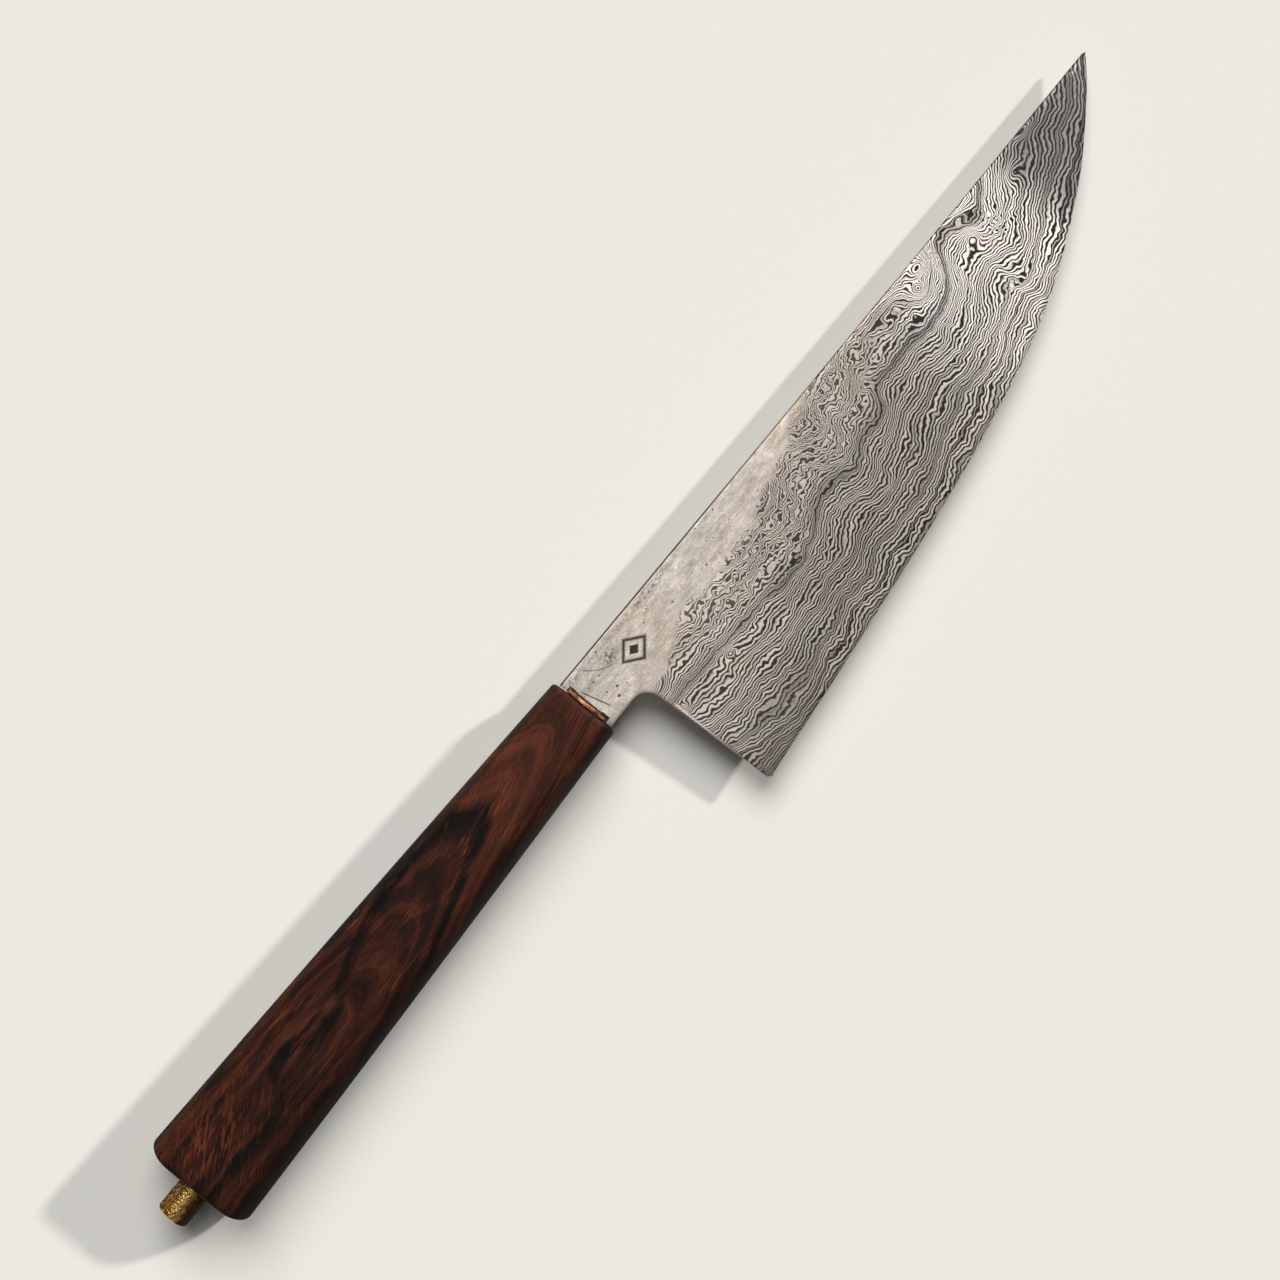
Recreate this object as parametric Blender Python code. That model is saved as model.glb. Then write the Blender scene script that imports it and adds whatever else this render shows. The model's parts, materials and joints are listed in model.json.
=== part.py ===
"""Takedown chef's knife with a pattern-welded blade and an oval wooden handle.

The knife is drawn in its own frame: +X along the tang axis to the tip, +Y to the spine, Z across the
blade, with the datum on the tang axis at the front of the handle. An empty then lays it on its side,
tipped forward until the flat under the handle is level.

The blade, its neck and its stick tang are one forging. A threaded rod is brazed over the end of the
tang. The brass nut in the butt draws the handle, the copper spacer and the liner up to the neck.
"""

import math

import bmesh
import bpy
from mathutils import Vector
from mathutils.geometry import delaunay_2d_cdt

MM = 0.001

# Blade
NECK_START_X = 2.05 * MM
NECK_HALF_HEIGHT = 7.8 * MM
SEAT_HALF_HEIGHT = 6.3 * MM
SEAT_LIP_X = 0.5 * MM
SPINE_DROP = 0.0138
SPINE_CURVE = 0.020
HEEL_TOP_X = 13.1 * MM
CHOIL_RADIUS = 4.2 * MM
HEEL_LINE_MM = [(15.6, -44.9), (14.6, -44.1), (14.3, -35.0), (13.8, -24.0)]
CHOIL_STEPS = 6
EDGE_POINTS_MM = [(16.6, -44.6), (56.6, -40.3), (104.0, -34.0), (140.0, -26.2), (168.0, -14.2),
                  (187.0, -1.8), (195.6, 5.5)]
NECK_THICKNESS = 3.4 * MM
SPINE_THICKNESS = [(14.0 * MM, NECK_THICKNESS), (60.0 * MM, 2.0 * MM), (120.0 * MM, 1.45 * MM),
                   (196.0 * MM, 0.8 * MM)]
FLAT_BAND = [(9.0 * MM, 16.0 * MM), (30.0 * MM, 6.0 * MM), (70.0 * MM, 2.0 * MM), (196.0 * MM, 0.5 * MM)]
GRIND_HOLLOW = 1.25
BEVEL_THICKNESS = 0.45 * MM
BEVEL_WIDTH = 1.1 * MM
EDGE_THICKNESS = 0.12 * MM
SPINE_CHAMFER = 0.35 * MM
SPINE_STATIONS = [x * MM for x in (8, 14, *range(24, 196, 10))]
NECK_POINTS_MM = [(8.0, 0.0), (12.5, -8.0), (16.0, -16.0), (16.5, -30.0)]
EDGE_STEPS = 4

# Tang and rod
TANG_HALF_WIDTH = 4.0 * MM
TANG_END_HALF_WIDTH = 3.0 * MM
TANG_END_X = -56.0 * MM
TONGUE_HALF_WIDTH = 2.4 * MM
TONGUE_THICKNESS = 2.0 * MM
TONGUE_END_X = -66.0 * MM
TONGUE_STEP = 0.4 * MM
ROD_RADIUS = 3.0 * MM
ROD_FRONT_X = -56.9 * MM
ROD_END_X = -149.5 * MM
ROD_END_BREAK = 0.2 * MM
ROD_SLOT_END_X = -66.4 * MM
ROD_SLOT_HALF = 1.3 * MM

# Thread: M6, right-handed
PITCH = 1.0 * MM
THREAD_DEPTH = 0.54 * MM
THREAD_CLEARANCE = 0.12 * MM
THREAD_SIDES = 20
THREAD_RUNOUT_TURNS = 1.4
ROD_THREAD_TURNS = 9
NUT_THREAD_TURNS = 11
NUT_THREAD_LEAD = 2.5
FIRST_ROOT_X = ROD_END_X + 0.8 * PITCH

# Spacer, liner and pins
SPACER_RADIUS = 5.9 * MM
SPACER_X = (0.5 * MM, 1.4 * MM)
LINER_X = (1.6 * MM, 1.85 * MM)
TANG_SLOT_CLEARANCE = 0.3 * MM
PIN_RADIUS = 0.6 * MM
PIN_OFFSET = 4.1 * MM
PIN_X = (-5.0 * MM, 1.4 * MM)
PIN_CLEARANCE = 0.25 * MM
PIN_HOLE_SPARE = 0.4 * MM

# Handle
HANDLE_LENGTH = 144.6 * MM
FRONT_HALF_WIDTH = 9.25 * MM
BUTT_HALF_WIDTH = 14.5 * MM
WIDTH_CROWN = 0.22 * MM
FRONT_HALF_THICKNESS = 8.8 * MM
BUTT_HALF_THICKNESS = 10.9 * MM
FLAT_CUT = 0.72
EDGE_ROUND = 0.9 * MM
FRONT_PAD_RISE = 0.3 * MM
FRONT_PAD_SCALE = 0.62
BORE_RADIUS = 3.4 * MM
COUNTERBORE_RADIUS = 4.45 * MM
COUNTERBORE_FLOOR_X = -136.6 * MM
HANDLE_SLOT_SPARE = 0.45 * MM
HANDLE_SLOT_END_SPARE = 2.0 * MM
BORE_OVERLAP = 1.0 * MM

# Nut and washer
WASHER_X = (-137.9 * MM, -136.9 * MM)
WASHER_RADIUS = 4.15 * MM
WASHER_HOLE_RADIUS = 3.3 * MM
NUT_RADIUS = 4.1 * MM
NUT_FACE_X = -138.2 * MM
NUT_END_X = -155.2 * MM
NUT_BORE_END_X = -152.0 * MM
NUT_END_ROUND = 0.9 * MM
NUT_FACE_BREAK = 0.2 * MM
NUT_MOUTH_WIDENING = 0.25 * MM
DRIVER_SLOT_HALF = 0.6 * MM
DRIVER_SLOT_DEPTH = 1.5 * MM

# How the knife lies: the flat under the handle is on z = 0, the box's bottom centre is the origin
LIE_ANGLE = math.atan((BUTT_HALF_THICKNESS - FRONT_HALF_THICKNESS) / HANDLE_LENGTH)
DATUM = (-20.175 * MM, 15.214 * MM, FRONT_HALF_THICKNESS * math.cos(LIE_ANGLE))

RADIAL_STEPS = 28
CUTTER_OVERRUN = 2.0 * MM


# ---------------------------------------------------------------- scene and object helpers

def clear_scene():
    for item in list(bpy.data.objects):
        bpy.data.objects.remove(item, do_unlink=True)


def make_material(name, color, roughness, metallic):
    material = bpy.data.materials.new(name)
    material.use_nodes = True
    shader = material.node_tree.nodes["Principled BSDF"]
    shader.inputs["Base Color"].default_value = (*color, 1.0)
    shader.inputs["Roughness"].default_value = roughness
    shader.inputs["Metallic"].default_value = metallic
    return material


def add_object(name, points, faces, parent, material=None, location=(0.0, 0.0, 0.0), sharp_degrees=35.0):
    mesh = bpy.data.meshes.new(name)
    mesh.from_pydata(points, [], faces)
    work = bmesh.new()
    work.from_mesh(mesh)
    bmesh.ops.recalc_face_normals(work, faces=work.faces)
    work.to_mesh(mesh)
    work.free()
    mesh.shade_smooth()
    mesh.set_sharp_from_angle(angle=math.radians(sharp_degrees))
    item = bpy.data.objects.new(name, mesh)
    bpy.context.scene.collection.objects.link(item)
    item.parent = parent
    item.location = location
    if material:
        mesh.materials.append(material)
    return item


def subtract(target, cutter):
    """Cuts one closed mesh out of another; the cutter stays as a hidden wire."""
    cutter.hide_render = True
    cutter.display_type = "WIRE"
    cut = target.modifiers.new(cutter.name, "BOOLEAN")
    cut.operation = "DIFFERENCE"
    cut.solver = "EXACT"
    cut.object = cutter


def interpolate(table, x):
    """Piecewise linear value of a table of (position, value) pairs."""
    for (x0, y0), (x1, y1) in zip(table, table[1:]):
        if x <= x1:
            return y0 + (y1 - y0) * max(0.0, (x - x0) / (x1 - x0))
    return table[-1][1]


# ---------------------------------------------------------------- turned and lofted shapes

def loft(rings):
    """Closed skin over rings of equal length, with a flat cap at each end."""
    sides = len(rings[0])
    points = [point for ring in rings for point in ring]
    faces = [tuple(range(sides)), tuple(range(len(points) - sides, len(points)))]
    for row in range(len(rings) - 1):
        for side in range(sides):
            after = (side + 1) % sides
            low = row * sides
            high = low + sides
            faces.append((low + side, low + after, high + after, high + side))
    return points, faces


def circle_ring(x, radius, sides=RADIAL_STEPS):
    angles = [math.tau * side / sides for side in range(sides)]
    return [(x, radius * math.cos(angle), radius * math.sin(angle)) for angle in angles]


def turned(profile, sides=RADIAL_STEPS):
    """Solid turned about X from a list of (x, radius) pairs."""
    return loft([circle_ring(x, radius, sides) for x, radius in profile])


def quarter_round(end_x, inward, radius, steps=3):
    """(x, inset) pairs that round an end's edge, from the side to the end face."""
    angles = [math.pi / 2 * step / steps for step in range(steps + 1)]
    return [(end_x + inward * radius * (1 - math.sin(a)), radius * (1 - math.cos(a))) for a in angles]


def thread_surface(first_x, turns, root, crest, front_ring, back_ring):
    """Right-hand V thread about X between two flat rings.

    Each turn has a root row and a crest row, and rows follow the helix, so row i at the end of a turn
    is row i + 2 at its start. The crest rises from the root over the first turn and falls over the last.
    Rings are (x, radius). Returns points, faces and the indices of the two rings.
    """
    sides = THREAD_SIDES
    rows = 2 * turns
    points = []
    index = {}

    def place(key, x, angle, radius):
        index[key] = len(points)
        points.append((x, radius * math.cos(angle), radius * math.sin(angle)))

    for side in range(sides):
        place(("start", side), front_ring[0], math.tau * side / sides, front_ring[1])
        place(("end", side), back_ring[0], math.tau * side / sides, back_ring[1])
    for row in range(rows + 3):
        for side in range(sides if row <= rows else 1):
            along = row + 2 * side / sides
            rise = max(0.0, min(1.0, along / 2 - 0.5, (rows + 2 - along) / 2 - 0.5))
            height = (crest - root) * rise if row % 2 else 0.0
            place((row, side), first_x + PITCH * along / 2, math.tau * side / sides, root + height)

    def at(row, side):
        return index[(row, side) if side < sides else (row + 2, 0)]

    faces = []
    for row in range(rows):
        for side in range(sides):
            quad = (at(row, side), at(row, side + 1), at(row + 1, side + 1), at(row + 1, side))
            faces += [quad[:3], (quad[0], quad[2], quad[3])]
    start = [index[("start", side)] for side in range(sides)]
    end = [index[("end", side)] for side in range(sides)]
    last = sides - 1
    for side in range(last):
        faces.append((start[side], start[side + 1], at(0, side + 1), at(0, side)))
    for side in range(1, sides):
        faces.append((at(rows, side), at(rows, side + 1), end[(side + 1) % sides], end[side]))
    step_at_start = [start[0], at(0, 0), at(1, 0), at(2, 0), at(0, last)]
    step_at_end = [end[0], at(rows + 2, 0), at(rows + 1, 0), at(rows, 0), at(rows, 1)]
    faces += [(start[last], a, b) for a, b in zip(step_at_start, step_at_start[1:])]
    faces += [(end[1], a, b) for a, b in zip(step_at_end, step_at_end[1:])]
    return points, faces, start, end


def join_ring(faces, ring_a, ring_b):
    for side in range(len(ring_a)):
        after = (side + 1) % len(ring_a)
        faces.append((ring_a[side], ring_a[after], ring_b[after], ring_b[side]))


def add_ring(points, x, radius, sides=THREAD_SIDES):
    first = len(points)
    points.extend(circle_ring(x, radius, sides))
    return list(range(first, first + sides))


# ---------------------------------------------------------------- blade

def spine_y(x):
    return NECK_HALF_HEIGHT - SPINE_DROP * x + SPINE_CURVE * x * x


def edge_curve(steps):
    """Smooth cutting edge from the heel to the tip through the edge's own points."""
    knots = [Vector((x * MM, y * MM)) for x, y in EDGE_POINTS_MM]
    knots = [2 * knots[0] - knots[1]] + knots + [2 * knots[-1] - knots[-2]]
    points = []
    for a, b, c, d in zip(knots, knots[1:], knots[2:], knots[3:]):
        for step in range(steps):
            t = step / steps
            point = 0.5 * (2 * b + (c - a) * t + (2 * a - 5 * b + 4 * c - d) * t * t
                           + (3 * b - a - 3 * c + d) * t ** 3)
            points.append((point.x, point.y))
    return points + [(knots[-2].x, knots[-2].y)]


def blade_outline():
    """Runs from the tang's end along its upper side, the spine, the edge, the heel and the choil.

    Where the neck meets the tang, a seat between two lips takes the spacer and the liner.
    """
    tang = [(TONGUE_END_X, TONGUE_HALF_WIDTH), (TANG_END_X - TONGUE_STEP, TONGUE_HALF_WIDTH),
            (TANG_END_X, TANG_END_HALF_WIDTH), (NECK_START_X, TANG_HALF_WIDTH),
            (NECK_START_X, SEAT_HALF_HEIGHT), (SEAT_LIP_X, SEAT_HALF_HEIGHT)]
    spine = [(x, spine_y(x)) for x in [SEAT_LIP_X] + SPINE_STATIONS]
    heel = [(x * MM, y * MM) for x, y in HEEL_LINE_MM]
    centre = (HEEL_TOP_X - CHOIL_RADIUS, -NECK_HALF_HEIGHT - CHOIL_RADIUS)
    angles = [math.pi / 2 * step / CHOIL_STEPS for step in range(CHOIL_STEPS + 1)]
    choil = [(centre[0] + CHOIL_RADIUS * math.cos(a), centre[1] + CHOIL_RADIUS * math.sin(a)) for a in angles]
    neck_under = [(SEAT_LIP_X, -NECK_HALF_HEIGHT)]
    tang_under = [(x, -y) for x, y in reversed(tang)]
    return tang + spine + edge_curve(EDGE_STEPS)[::-1] + heel + choil + neck_under + tang_under


def blade_thickness(x, y, edge):
    """Full across the tang and neck; ground from a band under the spine to the cutting bevel."""
    if x < SEAT_LIP_X:
        return NECK_THICKNESS if x > TANG_END_X - TONGUE_STEP / 2 else TONGUE_THICKNESS
    spine = interpolate(SPINE_THICKNESS, x)
    depth = spine_y(x) - y
    reach = spine_y(x) - interpolate(edge, max(x, edge[0][0]))
    band = min(interpolate(FLAT_BAND, x), reach / 2)
    share = max(0.0, min(1.0, (depth - band) / max(reach - BEVEL_WIDTH - band, MM)))
    thickness = BEVEL_THICKNESS + (spine - BEVEL_THICKNESS) * (1 - share) ** GRIND_HOLLOW
    bevel = max(0.0, min(1.0, (reach - depth) / BEVEL_WIDTH))
    thickness = min(thickness, EDGE_THICKNESS + (thickness - EDGE_THICKNESS) * bevel)
    return thickness - 2 * max(0.0, min(SPINE_CHAMFER, thickness / 4) - depth)


def blade_rows(edge):
    """Chains of inner points that the skin must follow: under the spine's chamfer and over the bevel."""
    under_spine = [(x, spine_y(x) - SPINE_CHAMFER) for x in SPINE_STATIONS[:-1]]
    over_bevel = []
    for (x0, y0), (x1, y1) in zip(edge[:-3], edge[1:]):
        along = Vector((x1 - x0, y1 - y0)).normalized()
        over_bevel.append((x0 - along.y * BEVEL_WIDTH, y0 + along.x * BEVEL_WIDTH))
    return [under_spine, over_bevel]


def blade_grind_points(edge):
    """Loose points down the grind, closer to the spine where the flat band ends."""
    points = []
    for x in SPINE_STATIONS[2:-1]:
        reach = spine_y(x) - interpolate(edge, x)
        band = min(interpolate(FLAT_BAND, x), reach / 2)
        ground = reach - BEVEL_WIDTH - band
        depths = [band + ground * share for share in (0.0, 0.25, 0.5, 0.75)]
        points += [(x, spine_y(x) - depth) for depth in depths if 2 * SPINE_CHAMFER < depth < reach - 2 * MM]
    return points + [(x * MM, y * MM) for x, y in NECK_POINTS_MM]


def add_blade(parent, material):
    edge = edge_curve(EDGE_STEPS)
    outline = blade_outline()
    flat = list(outline)
    chains = []
    for row in blade_rows(edge):
        chains += [(len(flat) + step, len(flat) + step + 1) for step in range(len(row) - 1)]
        flat += row
    flat += blade_grind_points(edge)
    loop = list(range(len(outline)))
    places, _, triangles, *_ = delaunay_2d_cdt([Vector(point) for point in flat], chains, [loop], 1, 1e-6)
    halves = [0.5 * blade_thickness(x, y, edge) for x, y in places]
    count = len(places)
    points = [(x, y, half) for (x, y), half in zip(places, halves)]
    points += [(x, y, -half) for (x, y), half in zip(places, halves)]
    directed = {(a, b) for face in triangles for a, b in zip(face, [*face[1:], face[0]])}
    faces = [tuple(face) for face in triangles]
    faces += [tuple(index + count for index in reversed(face)) for face in triangles]
    faces += [(b, a, a + count, b + count) for a, b in sorted(directed) if (b, a) not in directed]
    return add_object("blade", points, faces, parent, material, sharp_degrees=20.0)


# ---------------------------------------------------------------- tang rod, liner, spacer and pins

def add_tang_rod(parent, material):
    root = ROD_RADIUS - THREAD_DEPTH
    end_x = FIRST_ROOT_X + PITCH * (ROD_THREAD_TURNS + THREAD_RUNOUT_TURNS)
    points, faces, back, front = thread_surface(
        FIRST_ROOT_X, ROD_THREAD_TURNS, root, ROD_RADIUS, (ROD_END_X, root - ROD_END_BREAK),
        (end_x, root))
    shank = add_ring(points, end_x + THREAD_DEPTH, ROD_RADIUS)
    nose = add_ring(points, ROD_FRONT_X, ROD_RADIUS)
    join_ring(faces, front, shank)
    join_ring(faces, shank, nose)
    faces += [tuple(back), tuple(nose)]
    rod = add_object("tang_rod", points, faces, parent, material)
    subtract(rod, box_cutter("rod_fork_cut", (ROD_SLOT_END_X, ROD_FRONT_X + CUTTER_OVERRUN),
                             ROD_RADIUS + CUTTER_OVERRUN, ROD_SLOT_HALF, parent))
    return rod


def box_cutter(name, span_x, half_y, half_z, parent, end_half_y=None):
    """Straight or tapered block along X, centred on the tang axis."""
    widths = (end_half_y or half_y, half_y)
    rings = [[(x, y * w, z * half_z) for y, z in ((-1, -1), (1, -1), (1, 1), (-1, 1))]
             for x, w in zip(span_x, widths)]
    return add_object(name, *loft(rings), parent)


def turned_cutter(name, span_x, radius, parent, sides=RADIAL_STEPS, offset_z=0.0):
    return add_object(name, *turned([(x, radius) for x in span_x], sides), parent, location=(0, 0, offset_z))


def add_disc(name, span_x, parent, material):
    """Round washer with a slot that clears the tang."""
    disc = add_object(name, *turned([(x, SPACER_RADIUS) for x in span_x], 36), parent, material)
    reach = (span_x[0] - CUTTER_OVERRUN, span_x[1] + CUTTER_OVERRUN)
    slot = box_cutter(name + "_slot_cut", reach, TANG_HALF_WIDTH + TANG_SLOT_CLEARANCE,
                      NECK_THICKNESS / 2 + TANG_SLOT_CLEARANCE, parent)
    subtract(disc, slot)
    return disc


def add_locating_pins(spacer, wood, parent, material):
    """Two pins, above and below the tang, half in the spacer and half in the wood."""
    for name, side in (("upper", 1), ("lower", -1)):
        offset = side * PIN_OFFSET
        rounded = [(PIN_X[0], PIN_RADIUS * 0.6), (PIN_X[0] + 0.3 * MM, PIN_RADIUS), (PIN_X[1], PIN_RADIUS)]
        add_object("locating_pin_" + name, *turned(rounded, 12), parent, material, location=(0, 0, offset))
        hole = turned_cutter("pin_hole_cut_" + name, (PIN_X[0] - PIN_HOLE_SPARE, PIN_X[1] + CUTTER_OVERRUN),
                             PIN_RADIUS + PIN_CLEARANCE, parent, 12, offset)
        subtract(spacer, hole)
        subtract(wood, hole)


# ---------------------------------------------------------------- handle

def handle_section(x, scale=1.0, inset=0.0):
    """Oval ring of the handle at x, with the tops of its broad sides cut flat."""
    share = min(1.0, max(0.0, -x / HANDLE_LENGTH))
    half_y = FRONT_HALF_WIDTH + (BUTT_HALF_WIDTH - FRONT_HALF_WIDTH) * share
    half_y += WIDTH_CROWN * math.sin(math.pi * share)
    half_z = FRONT_HALF_THICKNESS + (BUTT_HALF_THICKNESS - FRONT_HALF_THICKNESS) * -x / HANDLE_LENGTH
    half_y = (half_y - inset) * scale
    full_z = (half_z - inset) * scale / FLAT_CUT
    limit = math.asin(FLAT_CUT)
    arc = [limit * (2 * step / 14 - 1) for step in range(15)]
    right = [(x, half_y * math.cos(a), full_z * math.sin(a)) for a in arc]
    return right + [(x, -y, -z) for _, y, z in right]


def add_handle(parent, material):
    butt = quarter_round(-HANDLE_LENGTH, 1, EDGE_ROUND)[::-1]
    front = quarter_round(0.0, -1, EDGE_ROUND)
    rings = [handle_section(x, inset=inset) for x, inset in butt]
    rings += [handle_section(-HANDLE_LENGTH * share / 10) for share in range(9, 0, -1)]
    rings += [handle_section(x, inset=inset) for x, inset in front]
    pad = [(FRONT_PAD_RISE, y, z) for _, y, z in handle_section(0.0, scale=FRONT_PAD_SCALE)]
    handle = add_object("handle_wood", *loft(rings + [pad]), parent, material)
    slot = box_cutter("handle_slot_cut", (TANG_END_X - HANDLE_SLOT_END_SPARE, CUTTER_OVERRUN),
                      TANG_HALF_WIDTH + HANDLE_SLOT_SPARE, NECK_THICKNESS / 2 + HANDLE_SLOT_SPARE, parent,
                      TANG_END_HALF_WIDTH + HANDLE_SLOT_SPARE)
    bore = turned_cutter("handle_bore_cut", (COUNTERBORE_FLOOR_X - CUTTER_OVERRUN, TANG_END_X + BORE_OVERLAP),
                         BORE_RADIUS, parent)
    counterbore = turned_cutter("handle_counterbore_cut", (-HANDLE_LENGTH - CUTTER_OVERRUN,
                                COUNTERBORE_FLOOR_X), COUNTERBORE_RADIUS, parent, 36)
    for cutter in (slot, bore, counterbore):
        subtract(handle, cutter)
    return handle


# ---------------------------------------------------------------- washer and nut

def add_washer(parent, material):
    centre = (WASHER_X[0] + WASHER_X[1]) / 2
    half = (WASHER_X[1] - WASHER_X[0]) / 2
    washer = add_object("nut_washer", *turned([(-half, WASHER_RADIUS), (half, WASHER_RADIUS)]),
                        parent, material, location=(centre, 0, 0))
    hole = turned_cutter("washer_hole_cut", (WASHER_X[0] - CUTTER_OVERRUN, WASHER_X[1] + CUTTER_OVERRUN),
                         WASHER_HOLE_RADIUS, parent)
    subtract(washer, hole)


def add_nut(parent, material):
    """Blind-bored barrel, drawn from its own face so that its origin is on its turning axis."""
    length = NUT_FACE_X - NUT_END_X
    root = ROD_RADIUS + THREAD_CLEARANCE
    crest = root - THREAD_DEPTH
    first_x = FIRST_ROOT_X - NUT_THREAD_LEAD * PITCH - NUT_FACE_X
    front_x = first_x + PITCH * (NUT_THREAD_TURNS + THREAD_RUNOUT_TURNS)
    points, faces, back, front = thread_surface(
        first_x, NUT_THREAD_TURNS, root, crest, (NUT_BORE_END_X - NUT_FACE_X, root), (front_x, root))
    mouth = add_ring(points, 0.0, root + NUT_MOUTH_WIDENING)
    shoulder = add_ring(points, 0.0, NUT_RADIUS - NUT_FACE_BREAK)
    side = add_ring(points, -NUT_FACE_BREAK, NUT_RADIUS)
    chain = [front, mouth, shoulder, side]
    for x, inset in quarter_round(-length, 1, NUT_END_ROUND):
        chain.append(add_ring(points, x, NUT_RADIUS - inset))
    for ring_a, ring_b in zip(chain, chain[1:]):
        join_ring(faces, ring_a, ring_b)
    faces += [tuple(back), tuple(chain[-1])]
    nut = add_object("finial_nut", points, faces, parent, material, location=(NUT_FACE_X, 0, 0))
    slot = box_cutter("driver_slot_cut", (NUT_END_X - CUTTER_OVERRUN, NUT_END_X + DRIVER_SLOT_DEPTH),
                      NUT_RADIUS + CUTTER_OVERRUN, DRIVER_SLOT_HALF, parent)
    subtract(nut, slot)


def main():
    clear_scene()
    knife = bpy.data.objects.new("knife_frame", None)
    bpy.context.scene.collection.objects.link(knife)
    knife.location = DATUM
    knife.rotation_euler = (0.0, LIE_ANGLE, 0.0)

    steel = make_material("damascus_steel", (0.36, 0.34, 0.32), 0.32, 1.0)
    rod_steel = make_material("rod_steel", (0.45, 0.45, 0.46), 0.4, 1.0)
    pin_steel = make_material("pin_steel", (0.5, 0.5, 0.5), 0.35, 1.0)
    fibre = make_material("black_fibre", (0.02, 0.02, 0.02), 0.7, 0.0)
    copper = make_material("copper", (0.62, 0.27, 0.14), 0.35, 1.0)
    wood = make_material("dark_rosewood", (0.09, 0.035, 0.02), 0.45, 0.0)
    washer_brass = make_material("washer_brass", (0.6, 0.42, 0.18), 0.4, 1.0)
    nut_brass = make_material("aged_brass", (0.5, 0.34, 0.13), 0.45, 1.0)

    add_blade(knife, steel)
    add_tang_rod(knife, rod_steel)
    add_disc("fibre_liner", LINER_X, knife, fibre)
    spacer = add_disc("copper_spacer", SPACER_X, knife, copper)
    handle = add_handle(knife, wood)
    add_locating_pins(spacer, handle, knife, pin_steel)
    add_washer(knife, washer_brass)
    add_nut(knife, nut_brass)


main()
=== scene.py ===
"""Looks of a takedown chef's knife: fine blade, handle, spacer, liner and nut, and all its materials.

Every piece is drawn in the knife's own frame, in millimetres: +X along the tang axis to the tip, +Y to
the spine, +Z through the side that faces up, with the datum at the front of the handle on the tang axis.
The nut's turning joint says where that frame lies, and each mesh is moved there once.
"""

import json
import math

import bmesh
import bpy
import numpy as np
from mathutils import Matrix, Vector, noise
from mathutils.geometry import delaunay_2d_cdt

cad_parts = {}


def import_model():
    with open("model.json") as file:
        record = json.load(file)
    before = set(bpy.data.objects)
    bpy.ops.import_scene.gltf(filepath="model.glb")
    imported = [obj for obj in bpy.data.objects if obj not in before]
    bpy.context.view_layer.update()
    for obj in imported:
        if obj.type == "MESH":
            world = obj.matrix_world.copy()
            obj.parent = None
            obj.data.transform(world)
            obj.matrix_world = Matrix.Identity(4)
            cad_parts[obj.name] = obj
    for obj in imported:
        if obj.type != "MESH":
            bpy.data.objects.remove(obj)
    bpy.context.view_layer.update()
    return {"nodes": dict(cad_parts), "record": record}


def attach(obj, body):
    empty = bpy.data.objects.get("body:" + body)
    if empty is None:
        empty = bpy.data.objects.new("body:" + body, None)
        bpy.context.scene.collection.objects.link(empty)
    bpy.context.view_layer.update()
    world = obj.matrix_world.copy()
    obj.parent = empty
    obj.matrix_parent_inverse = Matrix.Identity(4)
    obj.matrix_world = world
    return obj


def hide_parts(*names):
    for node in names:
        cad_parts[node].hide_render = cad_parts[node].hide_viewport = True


MM = 0.001

# Blade
NECK_X = 2.05
NECK_HALF = 7.8
SEAT_HALF = 6.3
LIP_X = 0.5
SPINE_DROP = 0.0138
SPINE_CURVE = 2.0e-5
SPINE_END_X = 194.6
SPINE_POINTS = 242
CHOIL_CENTRE = (8.9, -12.0)
CHOIL_RADIUS = 4.2
HEEL_LINE = [(13.8, -24.0), (14.3, -35.0), (14.6, -44.1), (15.6, -44.9)]
EDGE_KNOTS = [(16.6, -44.6), (56.6, -40.3), (104.0, -34.0), (140.0, -26.2), (168.0, -14.2),
              (187.0, -1.8), (195.6, 5.5)]
EDGE_STEPS = 26              # points between two knots of the edge
NECK_THICKNESS = 3.4
SPINE_THICKNESS = [(14.0, NECK_THICKNESS), (60.0, 2.0), (120.0, 1.45), (196.0, 0.8)]
FLAT_BAND = [(9.0, 16.0), (30.0, 6.0), (70.0, 2.0), (196.0, 0.5)]
GRIND_HOLLOW = 1.25
BEVEL_THICKNESS = 0.45
BEVEL_WIDTH = 0.9
BEVEL_RUN_OUT = 22           # edge points before the tip where the bevel's line ends
EDGE_THICKNESS = 0.12
CORNER_ROUND = 0.38
CORNER_TURNS = (22.5, 45.0, 67.5, 90.0)
FORGE_WAVE = 0.018

# Net of points over the blade's side
NET_STEP = 1.0
NET_ROW_STEP = 0.87          # of NET_STEP, so that the points form even triangles
NET_X = (2.6, 195.0)
NET_Y = (-46.0, 9.0)
NET_CLEARANCE = 0.35

# Tang
TANG_HALF = 4.0
TANG_END_HALF = 3.0
TANG_END_X = -56.0
TONGUE_HALF = 2.4
TONGUE_THICKNESS = 2.0
TONGUE_END_X = -66.0

# Handle
HANDLE_LENGTH = 144.6
FRONT_HALF_WIDTH = 9.25
BUTT_HALF_WIDTH = 14.5
WIDTH_CROWN = 0.22
FRONT_HALF_THICKNESS = 8.8
BUTT_HALF_THICKNESS = 10.9
FLAT_CUT = 0.72
FLAT_BORDER = 0.26
FRONT_ROUND = 0.8
BUTT_ROUND = 1.5
BORE_RADIUS = 3.4
COUNTERBORE_RADIUS = 4.45
COUNTERBORE_FLOOR_X = -136.6
SLOT_CLEARANCE = 0.45

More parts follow.
